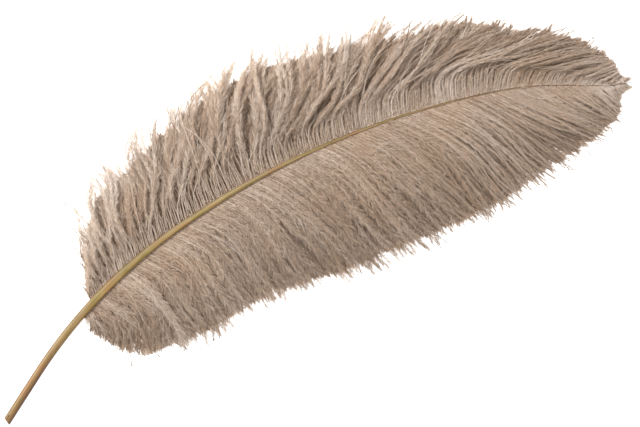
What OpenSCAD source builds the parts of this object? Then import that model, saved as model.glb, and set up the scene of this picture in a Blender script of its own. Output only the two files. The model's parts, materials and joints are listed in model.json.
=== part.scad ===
// Quill pen: a whole wing plume whose bare end is cut aslant and split to write with.
// It lies on its underside. +X runs from the cut end to the tip, +Y is the upper vane's side.

/* [Quill barrel] */
// Outer diameter of the bare barrel
barrel_d = 5.8; // [5.4:0.1:7]
// Diameter of the hollow inside the barrel
lumen_d = 4.4; // [3.6:0.1:4.8]
// Straight stretch of the barrel, from the cut end
barrel_straight = 40; // [30:1:60]
// Whole length of the barrel, to where the shaft starts
barrel_length = 100; // [98:1:104]

/* [Cut and split] */
// Length of the split, which is also that of the two tines
tine_length = 6; // [4:0.5:12]
// Width of the split between the tines at rest
split_width = 0.5; // [0.2:0.05:0.6]
// How far the split lies from the barrel's middle, towards the upper vane
split_offset = 0; // [-0.4:0.1:0.4]
// How far the split leans from upright, so that it is nearer the upper vane on top
split_tilt = 20; // [0:1:30]
// How far the cut end slopes from square
cut_slope = 20; // [0:1:22]

/* [Pulp caps] */
// Number of dried membranes across the lumen
cap_count = 7; // [3:1:7]
// Distance from the cut end to the first membrane
cap_start = 54; // [50:1:56]
// Distance from one membrane to the next
cap_pitch = 6; // [4:0.5:6]
// Thickness of a membrane
cap_wall = 0.15; // [0.1:0.05:0.3]

/* [Shaft] */
// Length of the whole quill along its curve, from the cut end to the tip
shaft_length = 527; // [520:1:535]
// Diameter at the very tip
tip_d = 0.4; // [0.4:0.1:0.8]
// How early the shaft thins: 1 is an even taper, more thins it sooner
taper_power = 1.4; // [1:0.1:1.8]
// Height of the shaft over its width, away from the barrel
shaft_tallness = 1.2; // [1:0.05:1.3]
// Horny wall of the shaft, as a part of its radius
cortex_share = 0.2; // [0.15:0.01:0.3]
// Depth of the groove along the underside, as a part of the radius
groove_share = 0.18; // [0:0.01:0.25]

/* [Curve of the quill] */
// Direction of the barrel against the line from end to end
barrel_heading = 28.7; // [25:0.1:33]
// Turn of the low stretch, which starts where the barrel stops being straight
low_turn = 21.7; // [18:0.1:26]
// Turn of the middle stretch
mid_turn = 24.5; // [18:0.1:28]
// Turn of the high stretch
high_turn = 11.6; // [8:0.1:18]
// Turn back of the last stretch
tip_turn = 20.5; // [10:0.5:26]
// How far the middle of the shaft stands above the barrel when the plume lies down
crown_rise = 11; // [4:1:16]

/* [Vane] */
// Where the lowest barbs of the lower vane leave the quill
lower_vane_start = 92; // [88:1:96]
// Where the full barbs of both vanes start
vane_start = 104; // [100:1:110]
// Where the small fan of barbs round the tip takes over
vane_end = 514; // [500:1:518]
// Number of locks that each vane hangs in
lock_count = 10; // [6:1:12]
// Thickness of a vane at the middle of its barbs
vane_thickness = 4; // [3:0.5:6]
// How far the barbs arch above the line from their roots to their ends
vane_loft = 6; // [3:0.5:9]

/* [Hidden] */
// Running clearances
joint_gap = 0.02;
core_gap = 0.03;
root_gap = 0.15;
lock_gap = 0.4;
pith_gap_share = 0.03;
pith_slack = 1;

// Barrel, whose wall is a little thinner past its straight stretch
bend_step = 0.02;
barrel_r = barrel_d / 2;
lumen_r = lumen_d / 2;
tip_r = tip_d / 2;
cap_dome_r = 3;
cut_margin = 1;

// Shaft: how far it takes to grow from round to tall, how narrow its groove is,
// and how much of its tip is solid horn
tall_run = 60;
groove_power = 12;
solid_tip = 16;

// Stations along the quill where its curve changes, and its direction at each
low_length = 140;
mid_length = 250;
high_length = 45;
level_length = 30;
mid_start = barrel_straight + low_length;
high_start = mid_start + mid_length;
level_start = high_start + high_length;
station = [
    0,
    barrel_straight,
    mid_start,
    high_start,
    level_start,
    level_start + level_length,
    shaft_length
];
direction = [
    barrel_heading,
    barrel_heading,
    barrel_heading - low_turn,
    barrel_heading - low_turn - mid_turn,
    barrel_heading - low_turn - mid_turn - high_turn,
    barrel_heading - low_turn - mid_turn - high_turn,
    barrel_heading - low_turn - mid_turn - high_turn + tip_turn
];
low_bend_r = low_length * 180 / PI / low_turn;
crown_at = 290;
tip_height = 2.6;

// Barbs of each vane: [distance along the quill, reach, lean from the shaft's direction]
upper_barbs = [
    [104, 22, 62],
    [115, 37, 69],
    [135, 57, 68],
    [160, 62, 67],
    [203, 77, 62],
    [244, 83, 60],
    [283, 79, 52],
    [321, 80, 43],
    [358, 81, 38],
    [394, 72, 29],
    [430, 65, 23],
    [465, 45, 24],
    [493, 24, 30],
    [510, 11, 34],
    [528, 2, 30]
];
lower_barbs = [
    [92, 17, 116],
    [110, 45, 101],
    [150, 71, 91],
    [203, 77, 83],
    [244, 88, 79],
    [321, 95, 66],
    [358, 93, 62],
    [394, 81, 52],
    [430, 72, 41],
    [465, 51, 33],
    [493, 27, 37],
    [510, 12, 38],
    [528, 2, 30]
];
// Lean at the root: [distance along the quill, upper vane, lower vane]
root_lean = [
    [92, 62, 75],
    [160, 66, 58],
    [250, 88, 46],
    [400, 86, 34],
    [528, 60, 24]
];
longest_barb = 95;
edge_thickness = 1.6;
root_thickness = 0.9;
bend_share = 0.35;

// Fineness of the faceted shapes
shaft_sides = 16;
shaft_rings = 42;
lock_ribs = 6;
lock_steps = 10;
outline_step = 2;

$fn = 64;

function unit(angle) = [cos(angle), sin(angle)];
function column(table, i) = [for (row = table) [row[0], row[i]]];
function ease(t) = (1 - cos(180 * t)) / 2;

// Curve of the quill seen from above
function heading(s) = lookup(s, [for (i = [0 : len(station) - 1]) [station[i], direction[i]]]);
function run_on(p, from, to, length) =
    from == to
    ? p + length * unit(from)
    : p + length * 180 / PI / (to - from) * [sin(to) - sin(from), cos(from) - cos(to)];
function knot(i) =
    i == 0
    ? [0, 0]
    : run_on(knot(i - 1), direction[i - 1], direction[i], station[i] - station[i - 1]);
knots = [for (i = [0 : len(station) - 1]) knot(i)];
function stretch(s, i = 0) =
    i >= len(station) - 2 || s < station[i + 1] ? i : stretch(s, i + 1);
function plan(s) =
    let (i = stretch(s))
    run_on(knots[i], direction[i], heading(s), s - station[i]);

// Height of the shaft's middle above what the plume lies on
function height(s) =
    s < barrel_length
    ? barrel_r
    : s < crown_at
    ? barrel_r + crown_rise * ease((s - barrel_length) / (crown_at - barrel_length))
    : tip_height + (barrel_r + crown_rise - tip_height)
        * ease((shaft_length - s) / (shaft_length - crown_at));

// Half width of the shaft
function shaft_r(s) =
    let (left = (shaft_length - s) / (shaft_length - barrel_length))
    tip_r + (barrel_r - tip_r) * pow(max(left, 0), taper_power);

// One ring of the shaft's section at a share of its radius, starting on the upper vane's side
function section(s, share) =
    let (
        r = shaft_r(s) * share,
        along = min((s - barrel_length) / tall_run, 1),
        tall = 1 + (shaft_tallness - 1) * along,
        side = unit(heading(s) + 90)
    )
    [
        for (i = [0 : shaft_sides - 1])
        let (
            a = 360 * i / shaft_sides,
            groove = 1 - groove_share * along * pow(max(-sin(a), 0), groove_power)
        )
        concat(
            plan(s) + side * r * cos(a) * groove,
            height(s) + r * tall * sin(a) * groove
        )
    ];
function ring_at(i, from, to) = from + (to - from) * i / (shaft_rings - 1);

// Faces between ring number i and the next, turned outwards or inwards
function band(i, first, out) = [
    for (j = [0 : shaft_sides - 1])
    let (
        a = first + i * shaft_sides + j,
        b = first + i * shaft_sides + (j + 1) % shaft_sides,
        c = b + shaft_sides,
        d = a + shaft_sides
    )
    each out ? [[a, c, b], [a, d, c]] : [[a, b, c], [a, c, d]]
];

// Face over a single ring, turned towards the tip or back towards the cut end
function lid(first, to_tip) = [
    to_tip
    ? [for (j = [shaft_sides - 1 : -1 : 0]) first + j]
    : [for (j = [0 : shaft_sides - 1]) first + j]
];

// A barb of one vane, seen from above. side is 1 for the upper vane and -1 for the lower
function reach(side, s) = lookup(s, column(side > 0 ? upper_barbs : lower_barbs, 1));
function lean(side, s) = lookup(s, column(side > 0 ? upper_barbs : lower_barbs, 2));
function lean_at_root(side, s) = lookup(s, column(root_lean, side > 0 ? 1 : 2));
function barb(side, s, v) =
    let (
        root = plan(s) + side * unit(heading(s) + 90) * (shaft_r(s) + root_gap),
        bend = root + bend_share * reach(side, s) * unit(heading(s) + side * lean_at_root(side, s)),
        end = root + reach(side, s) * unit(heading(s) + side * lean(side, s))
    )
    (1 - v) * (1 - v) * root + 2 * v * (1 - v) * bend + v * v * end;

// Middle height and half thickness of a vane, v of the way along its barbs
function vane_middle(side, s, v) =
    height(s) * (1 - v * v) + edge_thickness / 2 * v * v
    + vane_loft * reach(side, s) / longest_barb * sin(180 * v);
function vane_half(side, s, v) =
    (root_thickness * (1 - v) + edge_thickness * v) / 2
    + (vane_thickness - edge_thickness) / 2 * reach(side, s) / longest_barb * sin(180 * v);
function vane_point(side, s, v, up) =
    concat(barb(side, s, v), vane_middle(side, s, v) + up * vane_half(side, s, v));

// Length of quill that lock number i of a vane grows on
lock_length = (vane_end - vane_start) / lock_count;
function lock_from(i) = vane_start + (i - 1) * lock_length;
function lock_to(i) = lock_from(i) + lock_length - lock_gap;
tip_fan_to = shaft_length - 1;

// The vane's outline, from which the plume is centred over its origin
outline = [
    for (side = [-1, 1])
    for (s = [lower_vane_start : outline_step : tip_fan_to])
    if (side < 0 || s >= vane_start) barb(side, s, 1)
];
cut_corner = barrel_d * tan(cut_slope) * unit(barrel_heading) + barrel_r * unit(barrel_heading + 90);
far_x = max(max([for (p = outline) p[0]]), plan(shaft_length)[0]);
centre = [
    (cut_corner[0] + far_x) / 2,
    (min([for (p = outline) p[1]]) + max([for (p = outline) p[1]])) / 2
];

LOCKS = [for (i = [1 : lock_count]) i];

module place() {
    translate([-centre[0], -centre[1], 0])
    children();
}

// Puts children whose +X is the quill's own direction at distance s along it
module on_quill(s) {
    translate(concat(plan(s), height(s)))
    rotate([0, 0, heading(s)])
    children();
}

module straight_tube(from, to) {
    on_quill(from)
    rotate([0, 90, 0])
    difference() {
        cylinder(r = barrel_r, h = to - from);
        translate([0, 0, -cut_margin])
        cylinder(r = lumen_r, h = to - from + 2 * cut_margin);
    }
}

module bent_tube() {
    turn = direction[1] - heading(barrel_length);
    middle = plan(barrel_straight) - low_bend_r * unit(barrel_heading + 90);
    translate(concat(middle, barrel_r))
    rotate([0, 0, barrel_heading + 90 - turn])
    rotate_extrude(angle = turn)
    translate([low_bend_r, 0])
    difference() {
        circle(r = barrel_r - bend_step);
        circle(r = lumen_r + bend_step);
    }
}

module quill_barrel() {
    color([0.72, 0.58, 0.42])
    union() {
        straight_tube(tine_length, barrel_straight);
        bent_tube();
    }
}

// One tongue of the split end, on the upper (1) or the lower (-1) side of the split
module tine(side) {
    big = 4 * barrel_d;
    color([0.66, 0.52, 0.38])
    difference() {
        straight_tube(0, tine_length - joint_gap);
        on_quill(0)
        translate([0, -barrel_r, 0])
        rotate([0, 0, -cut_slope])
        translate([-big / 2, 0, 0])
        cube(big, center = true);
        on_quill(0)
        rotate([-split_tilt, 0, 0])
        translate([0, split_offset + side * (split_width / 2 - big / 2), 0])
        cube(big, center = true);
    }
}

module upper_tine() {
    tine(1);
}

module lower_tine() {
    tine(-1);
}

// One dried membrane: a shallow dome across the lumen, bulging towards the cut end
module pulp_cap() {
    r = lumen_r - core_gap;
    rise = cap_dome_r - sqrt(cap_dome_r * cap_dome_r - r * r);
    rotate([0, 90, 0])
    intersection() {
        translate([0, 0, -rise])
        cylinder(r = r, h = rise);
        translate([0, 0, cap_dome_r - rise])
        difference() {
            sphere(r = cap_dome_r);
            sphere(r = cap_dome_r - cap_wall);
        }
    }
}

module pulp_caps() {
    color([0.86, 0.8, 0.68])
    for (i = [0 : cap_count - 1])
    on_quill(cap_start + i * cap_pitch)
    pulp_cap();
}

// The shaft's horny skin: a cup, open where it meets the barrel
module shaft() {
    inner = 1 - cortex_share;
    pith_end = shaft_length - solid_tip;
    rings = [for (i = [0 : shaft_rings - 1]) section(ring_at(i, barrel_length, shaft_length), 1)];
    hollow = [for (i = [0 : shaft_rings - 1]) section(ring_at(i, barrel_length, pith_end), inner)];
    start = shaft_rings * shaft_sides;
    color([0.7, 0.6, 0.36])
    polyhedron(
        points = concat([for (r = rings) each r], [for (r = hollow) each r]),
        faces = concat(
            [for (i = [0 : shaft_rings - 2]) each band(i, 0, true)],
            [for (i = [0 : shaft_rings - 2]) each band(i, start, false)],
            lid(start - shaft_sides, true),
            lid(2 * start - shaft_sides, false),
            [
                for (j = [0 : shaft_sides - 1])
                let (k = (j + 1) % shaft_sides)
                each [[j, k, start + k], [j, start + k, start + j]]
            ]
        )
    );
}

module shaft_pith() {
    share = 1 - cortex_share - pith_gap_share;
    pith_end = shaft_length - solid_tip - pith_slack;
    rings = [
        for (i = [0 : shaft_rings - 1])
        section(ring_at(i, barrel_length + core_gap, pith_end), share)
    ];
    color([0.95, 0.93, 0.86])
    polyhedron(
        points = [for (r = rings) each r],
        faces = concat(
            [for (i = [0 : shaft_rings - 2]) each band(i, 0, true)],
            lid(0, false),
            lid((shaft_rings - 1) * shaft_sides, true)
        )
    );
}

// The barbs of one side that grow between two places along the quill, as one soft sheet
module lock(side, from, to) {
    wide = lock_ribs + 1;
    deep = lock_steps + 1;
    sheet = wide * deep;
    flip = side > 0;
    function at(i, j) = i * deep + j;
    function quad(a, b, c, d, turned) =
        turned ? [[a, b, c], [a, c, d]] : [[a, c, b], [a, d, c]];
    polyhedron(
        points = [
            for (up = [1, -1])
            for (i = [0 : lock_ribs])
            for (j = [0 : lock_steps])
            vane_point(side, from + (to - from) * i / lock_ribs, j / lock_steps, up)
        ],
        faces = concat(
            [
                for (i = [0 : lock_ribs - 1])
                for (j = [0 : lock_steps - 1])
                each quad(at(i, j), at(i, j + 1), at(i + 1, j + 1), at(i + 1, j), flip)
            ],
            [
                for (i = [0 : lock_ribs - 1])
                for (j = [0 : lock_steps - 1])
                each quad(
                    sheet + at(i, j), sheet + at(i, j + 1),
                    sheet + at(i + 1, j + 1), sheet + at(i + 1, j), !flip
                )
            ],
            [
                for (i = [0 : lock_ribs - 1])
                for (j = [0, lock_steps])
                each quad(
                    at(i, j), at(i + 1, j), sheet + at(i + 1, j), sheet + at(i, j),
                    (j == 0) == flip
                )
            ],
            [
                for (i = [0, lock_ribs])
                for (j = [0 : lock_steps - 1])
                each quad(
                    at(i, j), at(i, j + 1), sheet + at(i, j + 1), sheet + at(i, j),
                    (i == 0) != flip
                )
            ]
        )
    );
}

module upper_vane(i) {
    color([0.72, 0.62, 0.53])
    lock(1, lock_from(i), lock_to(i));
}

module lower_vane(i) {
    color([0.66, 0.57, 0.48])
    lock(-1, lock_from(i), lock_to(i));
}

module base_down() {
    color([0.55, 0.44, 0.36])
    lock(-1, lower_vane_start, vane_start - lock_gap);
}

module tip_barbs() {
    color([0.75, 0.67, 0.6]) {
        lock(1, vane_end, tip_fan_to);
        lock(-1, vane_end, tip_fan_to);
    }
}

place() {
    quill_barrel();
    upper_tine();
    lower_tine();
    pulp_caps();
    shaft();
    shaft_pith();
    for (i = LOCKS) upper_vane(i);
    for (i = LOCKS) lower_vane(i);
    base_down();
    tip_barbs();
}
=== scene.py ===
"""A quill pen: a taupe ostrich plume whose bare end is cut aslant and split, lying on a pale floor.

Everything is in metres, in the frame's own axes: +X from the cut end to the tip, +Y towards the
upper vane, +Z up. The quill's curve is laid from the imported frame's tine joints and barrel mount.
"""
import json
import math
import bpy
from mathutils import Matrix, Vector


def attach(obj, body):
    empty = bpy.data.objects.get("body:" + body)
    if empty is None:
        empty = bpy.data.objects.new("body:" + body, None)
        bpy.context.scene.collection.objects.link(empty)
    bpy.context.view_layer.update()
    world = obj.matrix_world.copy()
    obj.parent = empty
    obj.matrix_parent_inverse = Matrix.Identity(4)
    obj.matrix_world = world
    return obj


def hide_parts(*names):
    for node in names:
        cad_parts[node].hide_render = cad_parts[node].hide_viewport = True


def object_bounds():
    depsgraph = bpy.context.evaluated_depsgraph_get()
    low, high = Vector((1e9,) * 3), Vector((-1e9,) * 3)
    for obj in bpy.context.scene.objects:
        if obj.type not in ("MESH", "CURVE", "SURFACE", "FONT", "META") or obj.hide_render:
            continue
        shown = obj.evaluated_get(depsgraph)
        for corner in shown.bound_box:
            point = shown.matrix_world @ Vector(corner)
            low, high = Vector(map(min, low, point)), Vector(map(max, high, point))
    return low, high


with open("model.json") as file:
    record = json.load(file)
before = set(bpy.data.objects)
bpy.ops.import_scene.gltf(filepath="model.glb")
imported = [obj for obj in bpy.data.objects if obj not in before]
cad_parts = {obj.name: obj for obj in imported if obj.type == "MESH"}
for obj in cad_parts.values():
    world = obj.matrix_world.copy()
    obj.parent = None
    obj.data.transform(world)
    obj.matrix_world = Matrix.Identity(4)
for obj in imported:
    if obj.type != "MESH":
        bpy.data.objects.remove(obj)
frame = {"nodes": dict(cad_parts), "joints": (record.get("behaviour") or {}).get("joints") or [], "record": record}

from types import SimpleNamespace
from typing import NamedTuple

import bpy
import numpy as np
from mathutils import Matrix, Vector

MM = 0.001
SEED = 11
cad_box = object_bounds()

# ---------------------------------------------------------------- sizes of the quill
TINE_LENGTH = 6 * MM
BARREL_LENGTH = 100 * MM
BARREL_R = 2.9 * MM
SHAFT_LENGTH = 527 * MM
SHAFT_TIP_R = 0.2 * MM
TAPER_POWER = 1.4
# A point of the horn lies inside below this share of the radius, and on a cut face where its
# normal leans farther than this from straight outward. Such points are painted dark as shade
INSIDE_SHARE = 0.85
OUTWARD_LEAST = 0.55
SHAFT_TALLNESS = 1.2
# Stretches of the quill's curve: length and turn towards the lower vane, in degrees
STRETCHES = (
    (40 * MM, 0.0), (140 * MM, 21.7), (250 * MM, 24.5), (45 * MM, 11.6), (30 * MM, 0.0),
    (22 * MM, -20.5),
)
CROWN_AT = 290 * MM
CROWN_RISE = 11 * MM
TIP_HEIGHT = 2.6 * MM

# ---------------------------------------------------------------- sizes of the vanes
LOWER_START = 92 * MM
VANE_START = 104 * MM
VANE_END = 514 * MM
TIP_FAN_END = 520 * MM
LAST_STRAY = 495 * MM
LOCKS = 10
VANE_LOFT = 6 * MM
LONGEST_BARB = 93 * MM
# No barb's line lies farther than this from the frame's X axis
WIDEST = cad_box[1].y + 11 * MM
# (distance along the quill, reach of the barbs in mm, lean of their chord from the shaft)
UPPER_BARBS = (
    (104, 10, 62), (115, 31, 69), (135, 61, 68), (160, 63, 67), (203, 77, 62), (244, 85, 60),
    (283, 81, 52), (321, 81, 43), (358, 86, 38), (394, 78, 29), (430, 70, 23), (465, 47, 24),
    (493, 23, 30), (510, 9, 34), (528, 1, 30),
)
LOWER_BARBS = (
    (92, 8, 114), (110, 52, 98), (150, 71, 85), (203, 78, 76), (244, 93, 72), (321, 102, 60),
    (358, 97, 56), (394, 87, 47), (430, 77, 38), (465, 52, 31), (493, 28, 35), (510, 9, 36),
    (528, 1, 30),
)
# (distance along the quill, lean at the root of the upper barbs, the same of the lower barbs)
ROOT_LEAN = ((92, 58, 78), (160, 64, 60), (230, 82, 50), (400, 78, 40), (528, 54, 30))


class Layer(NamedTuple):
    """One layer of a vane. A layer without a stem or without barbules has None or 0 for it."""

    spacing: float  # from one barb to the next
    stem: tuple  # radius of the stem at its root and at its tip
    blades: float  # barbules to a metre of barb
    width: float  # of a barbule at its root


# The bed is the lowest and evenest layer, and keeps the floor from showing through
LAYERS = {
    "top": Layer(1.7 * MM, (0.22 * MM, 0.05 * MM), 9 / MM, 0.16 * MM),
    "fill": Layer(2.6 * MM, (0.22 * MM, 0.05 * MM), 7 / MM, 0.16 * MM),
    "mat": Layer(1.8 * MM, (0.18 * MM, 0.04 * MM), 6 / MM, 0.5 * MM),
    "bed": Layer(1.6 * MM, None, 2.5 / MM, 0.9 * MM),
    "wisp": Layer(6.5 * MM, (0.2 * MM, 0.05 * MM), 4 / MM, 0.12 * MM),
    "stray": Layer(3.6 * MM, (0.3 * MM, 0.16 * MM), 0, 0),
}
# The upper barbs stand apart at their roots about this place, over this distance each way
OPEN_AT, OPEN_OVER = 188 * MM, 48 * MM
BARB_POINTS = 32
BIG_LOCK_WIDTHS = (12 * MM, 30 * MM)
# Extra strays hang from this much of each vane's start
EXTRA_STRAYS, EXTRA_STRAYS_OVER = 18, 45 * MM
# The vanes are untidy from here on, for the length that each side's habit gives
BASE_FROM = 100 * MM
# The barbs are fluffy up to the first of these places and combed smooth from the second
FLUFFY_TO, COMBED_FROM = 270 * MM, 410 * MM
# At these shares of a barb's length: its barbules' angle from the barb, their length in mm and
# how much lighter they are, in two rows each, for fluffy barbs and for combed ones
BARBULE_PLACES = (0.0, 0.08, 0.2, 0.35, 0.6, 0.88, 1.0)
BARBULE_LEANS = ((56, 52, 44, 34, 29, 28, 26), (60, 52, 36, 21, 16, 14, 12))
BARBULE_LENGTHS = {
    "upper": ((1.2, 1.6, 2.8, 4.4, 5.2, 4.6, 2.6), (1.5, 1.8, 2.2, 2.6, 3.2, 2.8, 1.4)),
    "lower": ((1.6, 2.4, 3.8, 4.8, 5.4, 4.6, 2.6), (1.2, 1.8, 2.8, 3.4, 3.8, 3.2, 1.8)),
    "mat": ((2.0, 3.5, 5.0, 6.5, 7.0, 6.0, 3.5), (2.5, 3.5, 5.0, 6.5, 7.0, 6.5, 4.0)),
    "wisp": ((0.8, 1.0, 1.2, 1.4, 1.4, 1.2, 0.8), (0.6, 0.7, 0.8, 0.9, 0.9, 0.8, 0.5)),
}
BARBULE_TONES = {
    "upper": (
        (-0.04, -0.08, -0.05, 0.0, 0.06, 0.24, 0.46),
        (0.12, 0.13, 0.08, -0.02, 0.06, 0.16, 0.26),
    ),
    "lower": (
        (0.0, 0.0, 0.0, 0.02, 0.02, 0.05, 0.12),
        (-0.04, -0.02, 0.0, 0.02, 0.02, 0.05, 0.12),
    ),
    "upper mat": (
        (-0.08, -0.05, 0.02, 0.14, 0.22, 0.3, 0.4),
        (0.36, 0.34, 0.1, -0.04, 0.1, 0.2, 0.2),
    ),
    "lower mat": (
        (0.06, 0.08, 0.1, 0.12, 0.12, 0.16, 0.2),
        (0.06, 0.08, 0.1, 0.12, 0.12, 0.16, 0.2),
    ),
    "wisp": (
        (0.0, 0.0, 0.0, 0.0, 0.04, 0.08, 0.1),
        (0.0, 0.0, 0.0, 0.0, 0.04, 0.08, 0.1),
    ),
}


class Habit(NamedTuple):
    """How one side's barbs hang. Of uneven and under_reach: the plain amount, how much more it is
    where the barbs are combed, and how much more near the vane's base. Of spread, waver and
    lock_tone: the plain amount, and how much more it is near the base."""

    side: int  # 1 for the upper vane, -1 for the lower
    rows: tuple  # reach and lean along the quill
    root_column: int  # of ROOT_LEAN
    lock_widths: tuple  # of the narrowest and the widest small lock
    base_length: float  # that the untidy base fades over
    uneven: tuple  # how much a small lock's reach varies
    uneven_big: float  # the same of a big lock
    under_reach: tuple  # reach of the two lower layers
    stray_extra: tuple  # least and greatest length of a stray beyond the others, in mm
    spread: tuple  # how much the lean of the small locks varies
    waver: tuple  # of a barb from side to side
    curl: float  # of a barb's end
    pull: float  # of a small lock's barbs to its middle
    pull_big: float  # the same of a big lock
    crowns: tuple  # height of a small lock's middle, of a big lock's, and how much these vary
    wisp_rise: float
    lock_tone: tuple  # how much lighter or darker a small lock may be
    crown_shade_tone: float  # painted shade: how much lighter a small lock's middle is than its edges
    under_shade_tone: float  # of the two lower layers, darker than the top one as painted shade beneath it
    gap_shade_tone: float  # painted shade: how much darker these may be in slow patches
    base_tone: float  # how much lighter the base is
    grit: float  # how much the barbules' tones vary
    apart: tuple  # how much shorter barbules are where the barbs stand apart, and how much darker as painted shade
    behind: tuple  # the same of the two lower layers' barbules, whose darkening is painted shade between the barbs


UPPER = Habit(
    side=1, rows=UPPER_BARBS, root_column=1, lock_widths=(2.2 * MM, 5.5 * MM),
    base_length=110 * MM, uneven=(0.09, -0.06, 0.07), uneven_big=0.02,
    under_reach=(0.88, 0.06, -0.08), stray_extra=(0, 7), spread=(0.07, 0.0), waver=(0.36, 0.0),
    curl=0.6, pull=0.5, pull_big=0.12, crowns=(1.9 * MM, 1.2 * MM, 0.8 * MM), wisp_rise=3.0 * MM,
    lock_tone=(0.06, 0.0), crown_shade_tone=0.12, under_shade_tone=0.32, gap_shade_tone=0.18, base_tone=0.1,
    grit=1.0, apart=(0.6, 0.05), behind=(0.0, 0.4),
)
LOWER = Habit(
    side=-1, rows=LOWER_BARBS, root_column=2, lock_widths=(3.5 * MM, 8.0 * MM),
    base_length=60 * MM, uneven=(0.025, 0.0, 0.11), uneven_big=0.012,
    under_reach=(0.94, 0.0, 0.0), stray_extra=(1, 10), spread=(0.03, 0.05), waver=(0.18, 0.2),
    curl=0.4, pull=0.24, pull_big=0.05, crowns=(0.8 * MM, 0.8 * MM, 0.35 * MM), wisp_rise=2.0 * MM,
    lock_tone=(0.04, 0.05), crown_shade_tone=0.05, under_shade_tone=0.4, gap_shade_tone=0.0, base_tone=-0.04,
    grit=0.7, apart=(0.0, 0.0), behind=(0.0, 0.0),
)
SHARES = np.linspace(0, 1, BARB_POINTS)[None]


def smooth(x):
    """0 below 0, 1 above 1, and an S-curve between."""
    x = np.clip(x, 0.0, 1.0)
    return x * x * (3 - 2 * x)


def from_table(rows, s, column):
    """A table's value at distance s along the quill. Its first column is in millimetres."""
    rows = np.array(rows, float)
    return np.interp(s, rows[:, 0] * MM, rows[:, column])


def combed(s):
    return smooth((s - FLUFFY_TO) / (COMBED_FROM - FLUFFY_TO))


def by_place(rows, v, smoothness):
    """A value at share v of a barb, between the rows for fluffy barbs and for combed ones."""
    fluffy, neat = (np.interp(v, BARBULE_PLACES, row) for row in rows)
    return fluffy + (neat - fluffy) * smoothness


def unit(angle):
    """Unit vectors in the floor's plane at these angles, in radians."""
    return np.stack([np.cos(angle), np.sin(angle)], -1)


def normalised(v):
    return v / np.maximum(np.linalg.norm(v, axis=-1, keepdims=True), 1e-12)


class Quill:
    """The quill's middle line, from the cut end at distance 0 to the tip."""

    STEP = 0.5 * MM

    def __init__(self):
        barrel = next(m for m in frame["record"]["mounts"] if m["name"] == "barrel_outside")
        first = math.atan2(-barrel["axis"][1], -barrel["axis"][0])
        self.s = np.arange(0, SHAFT_LENGTH + self.STEP, self.STEP)
        ends = np.concatenate([[0], np.cumsum([length for length, turn in STRETCHES])])
        turns = np.concatenate([[0], np.cumsum([turn for length, turn in STRETCHES])])
        self.angle = first - np.radians(np.interp(self.s, ends, turns))
        middle = (self.angle[1:] + self.angle[:-1]) / 2
        self.xy = np.concatenate([[[0, 0]], np.cumsum(self.STEP * unit(middle), 0)])
        pivots = np.array([j["pos_m"] for j in frame["joints"]])
        self.xy += pivots.mean(0)[:2] - self.at(TINE_LENGTH)

    def at(self, s):
        return np.stack([np.interp(s, self.s, self.xy[:, i]) for i in (0, 1)], -1)

    def heading(self, s):
        return np.interp(s, self.s, self.angle)

    def height(self, s):
        s = np.asarray(s, float)
        before = np.clip((s - BARREL_LENGTH) / (CROWN_AT - BARREL_LENGTH), 0, 1)
        after = np.clip((SHAFT_LENGTH - s) / (SHAFT_LENGTH - CROWN_AT), 0, 1)
        rise = (1 - np.cos(np.pi * before)) / 2
        fall = (1 - np.cos(np.pi * after)) / 2
        up = BARREL_R + CROWN_RISE * rise
        down = TIP_HEIGHT + (BARREL_R + CROWN_RISE - TIP_HEIGHT) * fall
        return np.where(s < CROWN_AT, up, down)

    def radius(self, s):
        left = np.clip((SHAFT_LENGTH - s) / (SHAFT_LENGTH - BARREL_LENGTH), 0, 1)
        return SHAFT_TIP_R + (BARREL_R - SHAFT_TIP_R) * left**TAPER_POWER

    def own_place(self, points):
        """For each point: distance along the quill, offset to the upper side, and height over it."""
        away = points[:, None, :2] - self.xy[None, ::4]
        nearest = np.argmin((away**2).sum(-1), 1) * 4
        side = unit(self.angle[nearest] + np.pi / 2)
        ahead = unit(self.angle[nearest])
        off = points[:, :2] - self.xy[nearest]
        s = self.s[nearest] + (off * ahead).sum(-1)
        return np.stack([s, (off * side).sum(-1), points[:, 2] - self.height(s)], -1)


quill = Quill()


# ---------------------------------------------------------------- materials
def new_material(name):
    mat = bpy.data.materials.new(name)
    mat.use_nodes = True
    nodes = mat.node_tree.nodes
    return mat, nodes, mat.node_tree.links, nodes["Principled BSDF"]


def add(nodes, kind, **settings):
    """A new node with the given settings; a setting of an input is written as in_Name."""
    node = nodes.new(kind)
    for key, value in settings.items():
        if key.startswith("in_"):
            node.inputs[key[3:].replace("_", " ")].default_value = value
        else:
            setattr(node, key, value)
    return node


def ramp(nodes, links, source, stops):
    """A colour ramp over a value, with (position, colour) stops."""
    node = add(nodes, "ShaderNodeValToRGB")
    elements = node.color_ramp.elements
    while len(elements) < len(stops):
        elements.new(0.5)
    for element, (position, colour) in zip(elements, stops):
        element.position = position
        element.color = (*colour, 1)
    links.new(source, node.inputs["Fac"])
    return node.outputs["Color"]


def mixed(nodes, links, how, factor, a, b):
    """Colour a mixed with colour b; factor and the colours are sockets or plain values."""
    node = add(nodes, "ShaderNodeMix", data_type="RGBA", blend_type=how)
    for socket, value in ((node.inputs[0], factor), (node.inputs[6], a), (node.inputs[7], b)):
        if isinstance(value, bpy.types.NodeSocket):
            links.new(value, socket)
        else:
            socket.default_value = value
    return node.outputs[2]


def srgb(r, g, b):
    """A colour given in 0-255 display values, as linear light. None of the values is under 11."""
    return tuple(((c / 255 + 0.055) / 1.055) ** 2.4 for c in (r, g, b))


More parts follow.
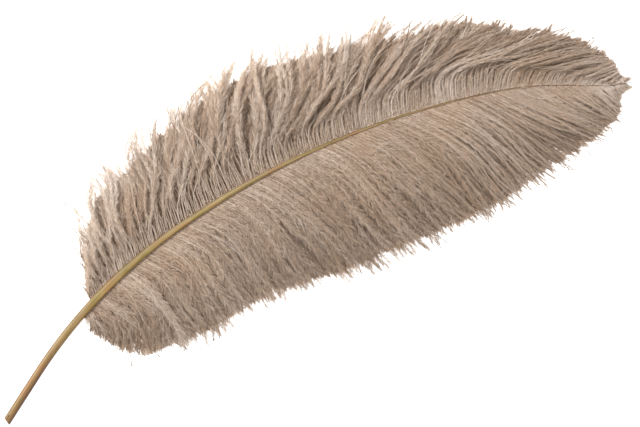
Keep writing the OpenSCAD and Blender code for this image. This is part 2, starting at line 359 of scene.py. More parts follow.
def horn_material(name, stops, rough):
    """Keratin: colour along the quill, painted shade across it, fine streaks along it, and blotches."""
    mat, nodes, links, shader = new_material(name)
    place = add(nodes, "ShaderNodeAttribute", attribute_name="quill_place")
    apart = add(nodes, "ShaderNodeSeparateXYZ")
    links.new(place.outputs["Vector"], apart.inputs[0])
    along = add(nodes, "ShaderNodeMath", operation="DIVIDE")
    along.inputs[1].default_value = SHAFT_LENGTH
    links.new(apart.outputs[0], along.inputs[0])
    base = ramp(nodes, links, along.outputs[0], stops)
    # Painted shade across the quill, with the horn's own two tones: one ramp near the cut end, one farther on
    across = add(nodes, "ShaderNodeAttribute", attribute_name="quill_side")
    edges = ramp(nodes, links, across.outputs["Fac"], ACROSS_SHADE_STOPS)
    farther = ramp(nodes, links, across.outputs["Fac"], FARTHER_SHADE_STOPS)
    fade = add(nodes, "ShaderNodeMapRange", in_From_Min=0.06, in_From_Max=0.22)
    links.new(along.outputs[0], fade.inputs[0])
    shade = mixed(nodes, links, "MIX", fade.outputs[0], edges, farther)
    base = mixed(nodes, links, "MULTIPLY", 1.0, base, shade)
    stretch = add(nodes, "ShaderNodeMapping")
    stretch.inputs["Scale"].default_value = (30, 1400, 1400)
    links.new(place.outputs["Vector"], stretch.inputs[0])
    streaks = add(nodes, "ShaderNodeTexNoise", in_Scale=1.0, in_Detail=4.0, in_Roughness=0.6)
    links.new(stretch.outputs[0], streaks.inputs["Vector"])
    streak_tone = ramp(
        nodes, links, streaks.outputs["Fac"], ((0.3, srgb(150, 118, 76)), (0.68, srgb(255, 248, 232)))
    )
    streaked = mixed(nodes, links, "MULTIPLY", 0.7, base, streak_tone)
    stretch_less = add(nodes, "ShaderNodeMapping")
    stretch_less.inputs["Scale"].default_value = (70, 240, 240)
    links.new(place.outputs["Vector"], stretch_less.inputs[0])
    blotches = add(nodes, "ShaderNodeTexNoise", in_Scale=1.0, in_Detail=3.0)
    links.new(stretch_less.outputs[0], blotches.inputs["Vector"])
    blotch_tone = ramp(
        nodes,
        links,
        blotches.outputs["Fac"],
        ((0.34, srgb(222, 216, 160)), (0.5, srgb(255, 250, 240)), (0.64, srgb(255, 222, 206))),
    )
    colour = mixed(nodes, links, "MULTIPLY", 0.75, streaked, blotch_tone)
    links.new(colour, shader.inputs["Base Color"])
    gloss = add(nodes, "ShaderNodeMapRange", in_To_Min=rough - 0.08, in_To_Max=rough + 0.2)
    links.new(streaks.outputs["Fac"], gloss.inputs[0])
    links.new(gloss.outputs[0], shader.inputs["Roughness"])
    bump = add(nodes, "ShaderNodeBump", in_Strength=0.3, in_Distance=0.00012)
    links.new(streaks.outputs["Fac"], bump.inputs["Height"])
    links.new(bump.outputs[0], shader.inputs["Normal"])
    shader.inputs["Coat Weight"].default_value = 0.1
    shader.inputs["Coat Roughness"].default_value = 0.3
    return mat


def barb_material(name, dark, mid, light, hue_shift):
    """Barbs: the tone painted on each barb, which carries some painted shade, slow patches of warmer
    and greyer dye, soft sheen.
    """
    mat, nodes, links, shader = new_material(name)
    tone = add(nodes, "ShaderNodeAttribute", attribute_name="tone")
    base = ramp(nodes, links, tone.outputs["Fac"], ((0.0, dark), (0.5, mid), (1.0, light)))
    where = add(nodes, "ShaderNodeTexCoord")
    dye = add(nodes, "ShaderNodeTexNoise", in_Scale=26.0, in_Detail=3.0, in_Roughness=0.55)
    links.new(where.outputs["Object"], dye.inputs["Vector"])
    dye_tone = ramp(
        nodes, links, dye.outputs["Fac"], ((0.3, hue_shift[0]), (0.5, (1, 1, 1)), (0.7, hue_shift[1]))
    )
    dyed = mixed(nodes, links, "MULTIPLY", 0.6, base, dye_tone)
    grain = add(nodes, "ShaderNodeTexNoise", in_Scale=900.0, in_Detail=2.0)
    links.new(where.outputs["Object"], grain.inputs["Vector"])
    grain_tone = ramp(
        nodes, links, grain.outputs["Fac"], ((0.3, srgb(205, 196, 186)), (0.7, srgb(255, 255, 255)))
    )
    colour = mixed(nodes, links, "MULTIPLY", 0.5, dyed, grain_tone)
    links.new(colour, shader.inputs["Base Color"])
    shader.inputs["Roughness"].default_value = 0.75
    shader.inputs["Specular IOR Level"].default_value = 0.25
    shader.inputs["Sheen Weight"].default_value = 0.15
    shader.inputs["Sheen Roughness"].default_value = 0.5
    return mat


def dry_material(name, a, b, scale, bump_size):
    """Dry membrane or foam: two mottled tones and a fine crumpled surface."""
    mat, nodes, links, shader = new_material(name)
    where = add(nodes, "ShaderNodeTexCoord")
    mottle = add(nodes, "ShaderNodeTexNoise", in_Scale=scale, in_Detail=4.0)
    links.new(where.outputs["Object"], mottle.inputs["Vector"])
    colour = ramp(nodes, links, mottle.outputs["Fac"], ((0.35, a), (0.65, b)))
    links.new(colour, shader.inputs["Base Color"])
    shader.inputs["Roughness"].default_value = 0.8
    bump = add(nodes, "ShaderNodeBump", in_Strength=0.5, in_Distance=bump_size)
    links.new(mottle.outputs["Fac"], bump.inputs["Height"])
    links.new(bump.outputs[0], shader.inputs["Normal"])
    return mat


# Colours along the quill, and colours across it from the lower side (0) to the upper side (1).
# Near the cut end the horn's own two tones and dark edge lines are mixed with painted shade on
# the lower side. Farther on, painted light on the lower, shaded side and painted shade on the
# upper, lit side flatten the lighting.
HORN_STOPS = (
    (0.0, srgb(193, 168, 127)), (0.06, srgb(192, 168, 127)), (0.16, srgb(208, 184, 136)),
    (0.27, srgb(208, 193, 136)), (0.5, srgb(214, 197, 152)), (0.8, srgb(180, 158, 130)),
    (0.93, srgb(150, 130, 110)), (1.0, srgb(84, 66, 54)),
)
ACROSS_SHADE_STOPS = (
    (0.0, srgb(110, 82, 54)), (0.12, srgb(145, 116, 78)), (0.26, srgb(204, 177, 130)),
    (0.38, srgb(225, 217, 192)), (0.62, srgb(219, 215, 206)), (0.8, srgb(255, 255, 255)),
    (0.9, srgb(182, 164, 134)), (1.0, srgb(150, 132, 104)),
)
FARTHER_SHADE_STOPS = (
    (0.0, srgb(206, 186, 150)), (0.14, srgb(246, 240, 226)), (0.32, srgb(250, 246, 236)),
    (0.5, srgb(216, 210, 200)), (0.64, srgb(190, 184, 174)), (0.86, srgb(188, 184, 178)),
    (1.0, srgb(150, 140, 126)),
)
horn = horn_material("barrel_horn", HORN_STOPS, 0.44)
shaft_horn = horn_material("shaft_horn", HORN_STOPS, 0.5)
membrane = dry_material("membrane", srgb(206, 190, 158), srgb(232, 222, 198), 900.0, 0.00008)
pith = dry_material("pith", srgb(228, 222, 204), srgb(246, 243, 232), 1600.0, 0.0001)
TAUPE_DARK, TAUPE_MID, TAUPE_LIGHT = srgb(118, 93, 74), srgb(198, 173, 151), srgb(242, 228, 214)
WARM, GREY = (1.0, 0.93, 0.84), (0.96, 0.97, 1.0)
upper_taupe = barb_material("vane_upper", TAUPE_DARK, TAUPE_MID, TAUPE_LIGHT, (WARM, GREY))
lower_taupe = barb_material("vane_lower", TAUPE_DARK, TAUPE_MID, TAUPE_LIGHT, (GREY, WARM))
DOWN_DARK, DOWN_MID, DOWN_LIGHT = srgb(118, 94, 76), srgb(190, 165, 143), srgb(232, 216, 200)
down_taupe = barb_material("down", DOWN_DARK, DOWN_MID, DOWN_LIGHT, (WARM, GREY))


# ---------------------------------------------------------------- horny pieces
def paint_places(mesh):
    """Stores each vertex's place along and round the quill, and how far across it each corner is,
    or 0 for painted shade inside the tube, on the cut end and on the split's walls.
    """
    count = len(mesh.vertices)
    points = np.empty(count * 3, np.float32)
    mesh.vertices.foreach_get("co", points)
    places = quill.own_place(points.reshape(-1, 3).astype(float))
    layer = mesh.attributes.new("quill_place", "FLOAT_VECTOR", "POINT")
    layer.data.foreach_set("vector", places.astype(np.float32).ravel())
    side = np.clip(0.5 + 0.5 * places[:, 1] / quill.radius(places[:, 0]), 0, 1)
    round_it = np.linalg.norm(places[:, 1:], axis=1) / quill.radius(places[:, 0])
    corners = np.empty(len(mesh.loops), np.int32)
    mesh.loops.foreach_get("vertex_index", corners)
    sizes = np.empty(len(mesh.polygons), np.int32)
    mesh.polygons.foreach_get("loop_total", sizes)
    normals = np.empty(len(mesh.polygons) * 3, np.float32)
    mesh.polygons.foreach_get("normal", normals)
    # Painted shade: the inside of the tube, the cut end and the split's walls get the darkest horn colour
    outward = places[:, 1:2] * unit(quill.heading(places[:, 0]) + np.pi / 2)
    outward = normalised(np.concatenate([outward, places[:, 2:]], 1))
    normals = np.repeat(normals.reshape(-1, 3), sizes, 0)
    facing = (normals * outward[corners]).sum(1)
    painted_shade = (facing < OUTWARD_LEAST) | (round_it[corners] < INSIDE_SHARE)
    layer = mesh.attributes.new("quill_side", "FLOAT", "CORNER")
    layer.data.foreach_set("value", np.where(painted_shade, 0.0, side[corners]).astype(np.float32))


def mesh_object(name, points, faces, material, smooth_shaded=True):
    """An object from arrays of points and of triangles or quads."""
    mesh = bpy.data.meshes.new(name)
    points = np.asarray(points, np.float32)
    corners = faces.shape[1]
    mesh.vertices.add(len(points))
    mesh.vertices.foreach_set("co", points.ravel())
    mesh.loops.add(faces.size)
    mesh.loops.foreach_set("vertex_index", faces.astype(np.int32).ravel())
    mesh.polygons.add(len(faces))
    mesh.polygons.foreach_set("loop_start", np.arange(0, faces.size, corners, dtype=np.int32))
    mesh.polygons.foreach_set("use_smooth", np.full(len(faces), smooth_shaded))
    mesh.update(calc_edges=True)
    mesh.materials.append(material)
    obj = bpy.data.objects.new(name, mesh)
    bpy.context.scene.collection.objects.link(obj)
    return obj


def dress_horn_nodes():
    for name, material in (("quill_barrel", horn), ("upper_tine", horn), ("lower_tine", horn)):
        node = frame["nodes"][name]
        node.data.materials.clear()
        node.data.materials.append(material)
        paint_places(node.data)
    for name, material in (("pulp_caps", membrane), ("shaft_pith", pith)):
        node = frame["nodes"][name]
        node.data.materials.clear()
        node.data.materials.append(material)


def make_shaft():
    """The shaft's horny skin with its fine ridges and the groove along its underside."""
    sides, rings, cortex, groove = 28, 360, 0.2, 0.18
    turn = 2 * np.pi * np.arange(sides) / sides
    rng = np.random.default_rng(SEED)
    ridges = 1 + 0.018 * np.repeat(rng.normal(size=(1, sides)), rings, 0)
    skins = []
    for share, end in ((1.0, SHAFT_LENGTH), (1 - cortex, SHAFT_LENGTH - 16 * MM)):
        s = np.linspace(BARREL_LENGTH, end, rings)[:, None]
        s[1] = s[0] + 0.05 * MM
        blend = np.clip((s - BARREL_LENGTH) / (60 * MM), 0, 1)
        tall = 1 + (SHAFT_TALLNESS - 1) * blend
        dip = 1 - groove * blend * np.clip(-np.sin(turn), 0, 1)[None] ** 12
        r = quill.radius(s) * share * dip * (1 + (ridges - 1) * (share == 1.0) * blend)
        flat = quill.at(s[:, 0])[:, None] + unit(quill.heading(s[:, 0]) + np.pi / 2)[:, None] * (
            r * np.cos(turn)
        )[..., None]
        up = quill.height(s) + r * tall * np.sin(turn)
        skins.append(np.concatenate([flat, up[..., None]], -1).reshape(-1, 3))
    i, j = np.meshgrid(np.arange(rings - 1), np.arange(sides), indexing="ij")
    a, b = i * sides + j, i * sides + (j + 1) % sides
    outer = np.stack([a, b, b + sides, a + sides], -1).reshape(-1, 4)
    inner = outer[:, ::-1] + rings * sides
    j = np.arange(sides)
    k = (j + 1) % sides
    start = rings * sides
    base = np.stack([j, start + j, start + k, k], -1)
    points = np.concatenate(skins + [skins[0][-sides:].mean(0)[None], skins[1][-sides:].mean(0)[None]])
    tip, deep = 2 * start, 2 * start + 1
    last = start - sides
    cap = np.stack([last + j, last + k, np.full(sides, tip), np.full(sides, tip)], -1)
    end = np.stack([start + last + k, start + last + j, np.full(sides, deep), np.full(sides, deep)], -1)
    quads = np.concatenate([outer, inner, base])
    tris = np.concatenate(
        [quads[:, [0, 1, 2]], quads[:, [0, 2, 3]], cap[:, :3], end[:, :3]]
    )
    obj = mesh_object("rachis_skin", points, tris, shaft_horn)
    paint_places(obj.data)
    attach(obj, "plume")
    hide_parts("shaft")


# ---------------------------------------------------------------- barbs
class Vane:
    """All the barbs of one side of the quill."""

    def __init__(self, habit, seed):
        self.habit = habit
        self.rng = np.random.default_rng(seed)

    def reach(self, s):
        return from_table(self.habit.rows, s, 1) * MM

    def lean(self, s):
        return np.radians(from_table(self.habit.rows, s, 2))

    def root_lean(self, s):
        return np.radians(from_table(ROOT_LEAN, s, self.habit.root_column))

    def slow_noise(self, s, scale):
        """Smooth random numbers along the quill, about -1 to 1, that vary over that distance."""
        knots = np.arange(0, SHAFT_LENGTH + 2 * scale, scale)
        return np.interp(s, knots, self.rng.uniform(-1, 1, len(knots)))

    def groups(self, s, narrow, wide):
        """Numbers of the locks that neighbouring barbs hang in, each lock between two widths."""
        width = np.cumsum(np.gradient(s) * np.sin(np.clip(self.lean(s), 0.3, np.pi / 2)))
        ends = np.cumsum(self.rng.uniform(narrow, wide, int(width[-1] / narrow) + 2))
        return np.unique(np.searchsorted(ends, width), return_inverse=True)[1]

    def lines(self, s, layer):
        """Middle lines of the barbs rooted at s, and the tone of each."""
        barbs = SimpleNamespace(s=s, n=len(s), layer=layer, neat=combed(s))
        barbs.under = layer in ("mat", "bed")
        barbs.loose = layer in ("wisp", "stray")
        barbs.even = 0.0 if layer == "bed" else 1.0
        barbs.small = self.groups(s, *self.habit.lock_widths)
        barbs.big = self.groups(s, *BIG_LOCK_WIDTHS)
        barbs.noise = self.rng.normal(size=(7, barbs.n)).clip(-2, 2)
        barbs.base = 1 - smooth((s - BASE_FROM) / self.habit.base_length)
        barbs.parted = smooth((SHARES - 0.1 - 0.06 * barbs.neat[:, None]) / 0.2)
        barbs.reach = self.reaches(barbs)
        flat = self.laid_out(barbs, self.angles(barbs))
        z, tone = self.heights_and_tones(barbs)
        return np.concatenate([flat, np.maximum(z, 0.5 * MM)[..., None]], -1), tone

    def reaches(self, barbs):
        """How far each barb reaches from its root, in a straight line."""
        habit, rng = self.habit, self.rng
        plain, if_neat, if_base = habit.uneven
        reach = self.reach(barbs.s) * (
            1
            + (plain + if_neat * barbs.neat + if_base * barbs.base)
            * np.minimum(barbs.noise[0][barbs.small], 1.0)
            + habit.uneven_big * barbs.noise[1][barbs.big]
            + 0.04 * np.minimum(rng.normal(size=barbs.n), 1.0)
        )
        if barbs.under:
            plain, if_neat, if_base = habit.under_reach
            reach = self.reach(barbs.s) * (plain + if_neat * barbs.neat + if_base * barbs.base)
        if barbs.layer == "wisp":
            reach *= rng.uniform(0.75, 1.05, barbs.n)
        if barbs.layer == "stray":
            extra = rng.uniform(*habit.stray_extra, barbs.n)
            reach += extra * MM * np.minimum(reach / (40 * MM), 1)
        return reach

    def angles(self, barbs):
        """Each barb's angle from the shaft at each share of its length."""
        habit, rng, v, s, n = self.habit, self.rng, SHARES, barbs.s, barbs.n
        neat, noise, small = barbs.neat[:, None], barbs.noise, barbs.small
        root = self.root_lean(s) + 0.04 * barbs.even * rng.normal(size=n)
        spread = 0.0 if barbs.under else habit.spread[0] + habit.spread[1] * barbs.base
        astray = (0.13 if barbs.loose else 0.025) * barbs.even
        chord = self.lean(s) + spread * noise[2][small] + astray * rng.normal(size=n)
        # A barb makes its turn at once on the upper side, and slowly on the lower
        if habit.side > 0:
            turned = smooth((v - 0.08 - 0.05 * neat) / (0.3 - 0.08 * neat))
        else:
            turned = smooth(np.repeat(v / 0.75, n, 0))
        end = root + (chord - root) / turned.mean(1)
        theta = root[:, None] + (end - root)[:, None] * turned
        # The waves that a lock's barbs share grow calmer towards the quill's tip
        along = (s / SHAFT_LENGTH)[:, None]
        calm = np.where(along < 0.55, 1.0, np.clip((0.95 - along) / 0.4, 0.25, 1.0))
        phase = 1.1 * self.slow_noise(s, 36 * MM) + 0.2 * noise[3][small]
        waver = calm * (habit.waver[0] + habit.waver[1] * barbs.base[:, None])
        waver = waver * (0.3 * barbs.even if barbs.under else 1.0)
        theta += waver * smooth(v / 0.3) * np.sin(np.pi * (1.7 * v + phase[:, None]))
        # Each barb's own waves
        own, waves = (0.24, 0.9) if barbs.layer == "wisp" else (0.06 * barbs.even, 2.3)
        own_phase = waves * v + rng.uniform(size=(n, 1))
        theta += own * smooth((v - 0.15) / 0.5) * np.sin(2 * np.pi * own_phase)
        curl = 0.35 * noise[4][small] + (0.9 if barbs.loose else 0.4) * rng.normal(size=n)
        curl = curl * barbs.even
        if barbs.layer == "stray":
            curl = curl + 1.2 * barbs.base * rng.normal(size=n)
        theta += habit.curl * curl[:, None] * smooth((v - 0.7) / 0.45)
        return theta

    def laid_out(self, barbs, theta):
        """The barbs' lines seen from above."""
        habit, v, s = self.habit, SHARES, barbs.s
        direction = quill.heading(s)[:, None] + habit.side * theta
        flat = np.cumsum(unit(direction), 1) - unit(direction[:, :1])
        flat *= (barbs.reach / np.linalg.norm(flat[:, -1], axis=-1))[:, None, None]
        outward = habit.side * unit(quill.heading(s) + np.pi / 2)
        flat += (quill.at(s) + outward * quill.radius(s)[:, None] * 0.9)[:, None]
        if barbs.layer in ("top", "fill"):
            # A lock's barbs draw together along its middle and part again at its end
            drawn = barbs.parted * (1 - 0.9 * smooth((v - 0.45) / 0.45))
            flat = self.gather(flat, barbs.small, habit.pull * drawn)
            flat = self.gather(flat, barbs.big, habit.pull_big * smooth((v - 0.3) / 0.3))
        start = flat[:, :1]
        beyond = np.abs(flat[..., 1]).max(1) - np.abs(start[:, 0, 1])
        room = WIDEST - np.abs(start[:, 0, 1])
        kept = np.minimum(room / np.maximum(beyond, MM), 1)
        return start + (flat - start) * kept[:, None, None]

    def heights_and_tones(self, barbs):
        """Height of each point of the barbs' lines, and the tone of each barb."""
        habit, rng, v, s, n = self.habit, self.rng, SHARES, barbs.s, barbs.n
        layer, noise, small = barbs.layer, barbs.noise, barbs.small
        crown = 1 - (2 * self.place_in_group(small) - 1) ** 2
        big_crown = 1 - (2 * self.place_in_group(barbs.big) - 1) ** 2
        z = quill.height(s)[:, None] * (1 - v * v) + 1.1 * MM * v * v
        z = z + VANE_LOFT * (barbs.reach / LONGEST_BARB)[:, None] * np.sin(np.pi * v)
        if layer == "top":
            z += habit.crowns[0] * crown[:, None] * barbs.parted
            z += habit.crowns[1] * big_crown[:, None] * smooth(v / 0.5)
            z += habit.crowns[2] * noise[5][small][:, None] * barbs.parted
            z += 0.3 * MM * rng.normal(size=(n, 1)) * smooth(v / 0.3)
            tone = 0.5 + 0.06 * rng.normal(size=n)
            tone = tone + (habit.lock_tone[0] + habit.lock_tone[1] * barbs.base) * noise[6][small]
            # Painted shade: a small lock's edges darker and its middle lighter
            tone += habit.crown_shade_tone * (crown - 0.5)
        elif layer == "wisp":
            z += habit.wisp_rise * smooth((v - 0.05) / 0.3) * (1 - 0.6 * v)
            tone = 0.62 + 0.12 * rng.normal(size=n)
        elif layer == "fill":
            z += 0.4 * MM * rng.normal(size=(n, 1)) * smooth(v / 0.3)
            z -= 0.7 * MM * smooth(v / 0.12)
            tone = 0.46 + 0.07 * rng.normal(size=n)
        elif layer == "stray":
            z -= 1.0 * MM * smooth(v / 0.12)
            tone = -0.1 + 0.1 * np.abs(rng.normal(size=n))
        else:
            z -= (2.0 if layer == "mat" else 3.2) * MM * smooth(v / 0.12)
            # Painted shade: the two lower layers are darker than the top one
            tone = habit.under_shade_tone + 0.05 * rng.normal(size=n)
            # Painted shade: dark gaps in slow patches where the barbs are fluffy
            if habit.gap_shade_tone:
                shade_patches = np.maximum(self.slow_noise(s, 14 * MM), 0)
                tone -= habit.gap_shade_tone * (1 - barbs.neat) * shade_patches
        # Lighter at the quill's tip
        tone = tone + 0.26 * smooth((s - 470 * MM) / (40 * MM))
        return z, tone + habit.base_tone * barbs.base

    @staticmethod
    def gather(flat, group, pull):
        """Draws the barbs of each group together by the share `pull` along their length."""
        counts = np.bincount(group)
        total = np.zeros((len(counts), *flat.shape[1:]))
        np.add.at(total, group, flat)
        middle = (total / counts[:, None, None])[group]
        return flat + (middle - flat) * pull[..., None]

    @staticmethod
    def place_in_group(group):
        """How far across its own group each barb is, 0 to 1."""
        counts = np.bincount(group)
        starts = np.cumsum(counts) - counts
        return (np.arange(len(group)) - starts[group] + 0.5) / counts[group]


def along_lines(lines, which, v):
    """Points and directions on lines number `which` at shares v of their length."""
    x = v * (lines.shape[1] - 1)
    i = np.minimum(x.astype(int), lines.shape[1] - 2)
    a, b = lines[which, i], lines[which, i + 1]
    return a + (b - a) * (x - i)[:, None], normalised(b - a)


def stems(lines, tone, root_r, tip_r):
    """The barbs' own stems: thin four-sided tubes that taper to a point."""
    n, k, _ = lines.shape
    ahead = normalised(np.gradient(lines, axis=1))
    side = normalised(np.cross(ahead, (0.0, 0.0, 1.0)))
    up = np.cross(side, ahead)
    share = np.linspace(0, 1, k)
    r = (root_r + (tip_r - root_r) * share**0.7)[None, :, None]
    corners = [lines + r * side, lines + r * up, lines - r * side, lines - r * up]
    points = np.stack(corners, 2).reshape(-1, 3)
    i, j, c = np.meshgrid(np.arange(n), np.arange(k - 1), np.arange(4), indexing="ij")
    a = (i * k + j) * 4 + c
    b = (i * k + j) * 4 + (c + 1) % 4
    quads = np.stack([a, b, b + 4, a + 4], -1).reshape(-1, 4)
    faces = np.concatenate([quads[:, [0, 1, 2]], quads[:, [0, 2, 3]]])
    return points, faces, np.repeat(tone + 0.2, k * 4)


def barbules(lines, s, tone, rng, kind, lengths, tones, grit, opening, least):
    """Tapered blades along both sides of the barbs, in small bunches whose ends lean together.

    grit is how much their tones vary, opening how much shorter they are where the barbs stand
    apart and how much darker, as painted shade, and least the smallest share of their size that
    a short barb's have.
    """
    spans = np.linalg.norm(np.diff(lines, axis=1), axis=-1).sum(1)
    openness = np.exp(-(((s - OPEN_AT) / OPEN_OVER) ** 2))
    counts = np.maximum((spans * kind.blades).astype(int), 4)
    which = np.repeat(np.arange(len(lines)), counts)
    firsts = np.cumsum(counts) - counts
    number = np.arange(len(which)) - firsts[which]
    n = len(which)
    v = np.clip((number + rng.uniform(0, 1, n)) / counts[which], 0.004, 0.999)
    v = np.where(rng.uniform(size=n) < 0.16, rng.uniform(0.004, 0.22, n), v)
    base, ahead = along_lines(lines, which, v)
    side = normalised(np.cross(ahead, (0.0, 0.0, 1.0)))
    up = np.cross(side, ahead)
    hand = np.where(rng.uniform(size=n) < 0.5, 1.0, -1.0)
    side = side * hand[:, None]
    bunch = (v * spans[which] / (2.4 * MM)).astype(int) * 2 + (hand > 0)
    bunch = (bunch + which * 977) % 65536
    of_bunch = rng.normal(size=(65536, 4)).clip(-2, 2)[bunch]
    smoothness = combed(s)[which]
    lean = by_place(BARBULE_LEANS, v, smoothness)
    lean = np.radians(lean + 6 * of_bunch[:, 0] + 5 * rng.normal(size=n))
    tilt = np.radians(-4 + 16 * of_bunch[:, 1] + 10 * rng.normal(size=n))
    out = np.cos(lean)[:, None] * ahead + np.sin(lean)[:, None] * (
        np.cos(tilt)[:, None] * side + np.sin(tilt)[:, None] * up
    )
    size = by_place(lengths, v, smoothness) * MM
    size *= (np.clip(spans / (32 * MM), least, 1) * rng.uniform(0.75, 1.15, len(lines)))[which]
    opened = openness[which] * (1 - smooth(v / 0.45))
    size *= 1 - opening[0] * opened
    size = (size * (1 + 0.18 * of_bunch[:, 2]) * rng.uniform(0.75, 1.15, n))[:, None]
    bend = 0.3 * ahead + (-0.15 + 0.2 * of_bunch[:, 1])[:, None] * up
    out_end = normalised(out + bend + 0.12 * rng.normal(size=out.shape))
    middle = base + 0.5 * size * out
    tip = middle + 0.5 * size * out_end
    twist = up + 0.5 * rng.normal(size=up.shape)
    across = normalised(np.cross(out, twist))
    w0 = 0.5 * kind.width * across
    w1 = 0.42 * kind.width * across
    points = np.stack([base - w0, base + w0, middle - w1, middle + w1, tip], 1)
    points[..., 2] = np.maximum(points[..., 2], 0.15 * MM)
    start = 5 * np.arange(n)[:, None, None]
    faces = (start + np.array([[0, 1, 3], [0, 3, 2], [2, 3, 4]])[None]).reshape(-1, 3)
    grit = grit * (1 - 0.45 * smoothness)
    blade_tone = tone[which] + grit * (0.1 * of_bunch[:, 3] + 0.09 * rng.normal(size=n))
    # Painted shade: barbules darker near the roots where the barbs stand apart
    blade_tone = blade_tone + by_place(tones, v, smoothness) - opening[1] * opened
    blade_tone = blade_tone[:, None] + np.array([[-0.1, -0.1, 0.0, 0.0, 0.14]])
    return points.reshape(-1, 3), faces, blade_tone.ravel()


def fused(parts):
    """Several (points, faces, tones) as one."""
    points, faces, tones, count = [], [], [], 0
    for p, f, t in parts:
        points.append(p)
        faces.append(f + count)
        tones.append(t)
        count += len(p)
    return np.concatenate(points), np.concatenate(faces), np.concatenate(tones)


def barb_object(name, parts, material, body, node):
    points, faces, tones = fused(parts)
    obj = mesh_object(name, points, faces, material)
    layer = obj.data.attributes.new("tone", "FLOAT", "POINT")
    layer.data.foreach_set("value", np.clip(tones, 0, 1).astype(np.float32))
    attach(obj, body)
    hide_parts(node)


def roots(start, end, spacing, rng):
    """Places along the quill, unevenly spaced, that barbs grow from."""
    s = np.arange(start, end, spacing)
    return np.sort(s + rng.uniform(-0.25, 0.25, len(s)) * spacing)


def make_vane(habit, seed, first, word, material):
    """One side's barbs, in a piece for each lock of the frame."""
    vane = Vane(habit, seed)
    rng = vane.rng
    layers = []
    for layer, kind in LAYERS.items():
        s = roots(first, LAST_STRAY if layer == "stray" else TIP_FAN_END, kind.spacing, rng)
        if layer == "stray":
            more = rng.uniform(first, first + EXTRA_STRAYS_OVER, EXTRA_STRAYS)
            s = np.sort(np.concatenate([s, more]))
        layers.append((layer, s, *vane.lines(s, layer)))
    lock_length = (VANE_END - VANE_START) / LOCKS
    cuts = [VANE_START + i * lock_length for i in range(LOCKS)] + [VANE_END]
    for i in range(LOCKS):
        parts = lock_parts(layers, cuts[i], cuts[i + 1], rng, habit, word)
        barb_object(f"{word}_barbs_{i + 1}", parts, material, "plume", f"{word}_vane_{i + 1}")
    return layers, rng


def lock_parts(layers, low, high, rng, habit, word):
    """Stems and barbules of the barbs that grow between two places."""
    parts = []
    for layer, s, lines, tone in layers:
        here = (s >= low) & (s < high)
        if not here.any():
            continue
        s, lines, tone = s[here], lines[here], tone[here]
        kind = LAYERS[layer]
        if kind.stem:
            parts.append(stems(lines, tone, *kind.stem))
        if not kind.blades:
            continue
        if layer == "wisp":
            lengths, tones, grit = BARBULE_LENGTHS["wisp"], BARBULE_TONES["wisp"], 1.0
            opening, least = (0.0, 0.0), 0.35
        elif layer in ("top", "fill"):
            lengths, tones, grit = BARBULE_LENGTHS[word], BARBULE_TONES[word], habit.grit
            opening, least = habit.apart, 0.35
        else:
            lengths, tones, grit = BARBULE_LENGTHS["mat"], BARBULE_TONES[word + " mat"], habit.grit
            opening, least = habit.behind, 0.5
        parts.append(barbules(lines, s, tone, rng, kind, lengths, tones, grit, opening, least))
    return parts


dress_horn_nodes()
make_shaft()
upper_layers, upper_rng = make_vane(UPPER, SEED + 1, VANE_START, "upper", upper_taupe)
lower_layers, lower_rng = make_vane(LOWER, SEED + 2, LOWER_START, "lower", lower_taupe)
base_parts = lock_parts(lower_layers, LOWER_START, VANE_START, lower_rng, LOWER, "lower")
barb_object("base_down_barbs", base_parts, down_taupe, "plume", "base_down")
fan = lock_parts(upper_layers, VANE_END, TIP_FAN_END, upper_rng, UPPER, "upper")
fan += lock_parts(lower_layers, VANE_END, TIP_FAN_END, lower_rng, LOWER, "lower")
barb_object("tip_fan_barbs", fan, upper_taupe, "plume", "tip_barbs")


# ---------------------------------------------------------------- floor, light and camera
# The camera's lens and sensor in millimetres, the width of floor that it shows, its turn about
# its own view, and the point that it looks at, from the middle of the frame's box
LENS, SENSOR_WIDTH = 240, 36
SHOWN_WIDTH = 448 * MM
ROLL = math.radians(28.58)
AIM_ASIDE, AIM_HEIGHT = (11.3 * MM, -30.1 * MM), 12 * MM
FLOOR_HALF = 6


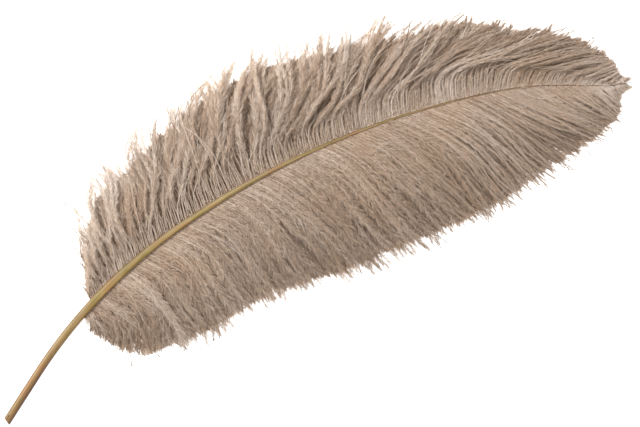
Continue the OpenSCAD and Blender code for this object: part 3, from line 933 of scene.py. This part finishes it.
def make_floor():
    mat, nodes, links, shader = new_material("pale_floor")
    shader.inputs["Base Color"].default_value = (0.93, 0.93, 0.93, 1)
    shader.inputs["Roughness"].default_value = 0.9
    shader.inputs["Specular IOR Level"].default_value = 0.1
    shader.inputs["Emission Color"].default_value = (1, 1, 1, 1)
    shader.inputs["Emission Strength"].default_value = 0.8
    corners = FLOOR_HALF * np.array([[-1, -1, 0], [1, -1, 0], [1, 1, 0], [-1, 1, 0]], float)
    obj = mesh_object("floor", corners, np.array([[0, 1, 2, 3]]), mat, smooth_shaded=False)


def area_light(name, place, target, size, watts, colour=(1, 1, 1)):
    data = bpy.data.lights.new(name, "AREA")
    data.shape = "DISK"
    data.size = size
    data.energy = watts
    data.color = colour
    obj = bpy.data.objects.new(name, data)
    bpy.context.scene.collection.objects.link(obj)
    obj.location = place
    obj.rotation_mode = "QUATERNION"
    obj.rotation_quaternion = (Vector(target) - Vector(place)).to_track_quat("-Z", "Y")


def make_lights(centre):
    world = bpy.data.worlds.new("studio")
    bpy.context.scene.world = world
    world.use_nodes = True
    world.node_tree.nodes["Background"].inputs["Color"].default_value = (1, 1, 1, 1)
    world.node_tree.nodes["Background"].inputs["Strength"].default_value = 0.5
    area_light("key", centre + Vector((-0.4, 1.15, 0.95)), centre, 0.5, 26)
    area_light("fill", centre + Vector((0.6, -0.7, 1.2)), centre, 1.2, 4)


def make_camera(centre):
    """Looks straight down on the plume, rolled so that it rises from lower left to upper right."""
    data = bpy.data.cameras.new("camera")
    camera = bpy.data.objects.new("camera", data)
    bpy.context.scene.collection.objects.link(camera)
    data.lens = LENS
    data.sensor_width = SENSOR_WIDTH
    distance = SHOWN_WIDTH * data.lens / data.sensor_width
    right = Vector((math.cos(ROLL), -math.sin(ROLL), 0))
    up = Vector((math.sin(ROLL), math.cos(ROLL), 0))
    back = right.cross(up)
    rotation = Matrix((right, up, back)).transposed()
    camera.matrix_world = Matrix.Translation(centre + back * distance) @ rotation.to_4x4()
    bpy.context.scene.camera = camera


low, high = cad_box
aim = Vector(((low.x + high.x) / 2 + AIM_ASIDE[0], (low.y + high.y) / 2 + AIM_ASIDE[1], AIM_HEIGHT))
make_floor()
make_lights(Vector((0, 0, 0)))
make_camera(aim)
bpy.context.scene.view_settings.view_transform = "Standard"
